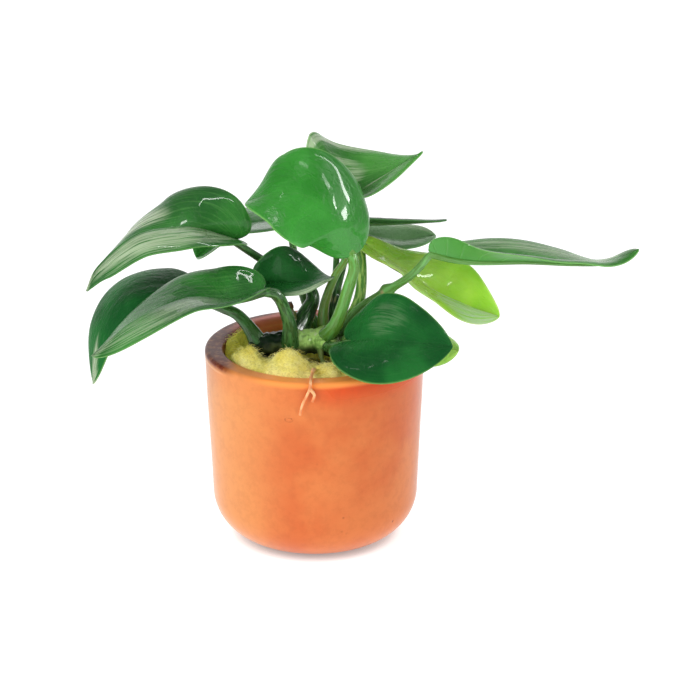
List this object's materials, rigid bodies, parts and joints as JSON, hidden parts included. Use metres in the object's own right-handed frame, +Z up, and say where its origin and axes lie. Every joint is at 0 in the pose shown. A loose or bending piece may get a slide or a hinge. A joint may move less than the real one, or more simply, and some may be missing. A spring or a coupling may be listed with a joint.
{
  "type": "potted dwarf anubias",
  "caption": "Small round clay pot filled with rock wool, with a dwarf anubias whose leathery leaves rise on stalks from a creeping stem.",
  "frame": {"origin": "centre of the pot's flat underside, on the pot's axis, at the surface that it stands on", "axes": "+Z up along the pot's axis; the picture looks along +Y, with +X to its right"},
  "size_m": [0.1358, 0.0624, 0.1004],
  "materials": {
    "clay": "satin",
    "rock_wool": "matte",
    "stem": "satin",
    "root": "satin",
    "leaf_dark": "gloss",
    "leaf_mid": "gloss",
    "leaf_bright": "gloss",
    "leaf_pale": "gloss",
    "leaf_young": "gloss"
  },
  "bodies": {
    "root": {"pot": "clay", "rock_wool": "rock_wool", "creeping_stem": "stem", "root_over_rim": "root", "leaf_upper_left": "leaf_mid", "leaf_low_left_back": "leaf_dark", "leaf_low_left_front": "leaf_mid", "leaf_small_centre": "leaf_dark", "leaf_top_centre": "leaf_bright", "leaf_top_back": "leaf_mid", "leaf_right_back": "leaf_dark", "leaf_young_right": "leaf_young", "leaf_long_right": "leaf_mid", "leaf_front_right": "leaf_dark", "leaf_under_front_right": "leaf_pale", "leaf_back_left": "leaf_mid", "leaf_far_right": "leaf_dark"}
  },
  "joints": []
}
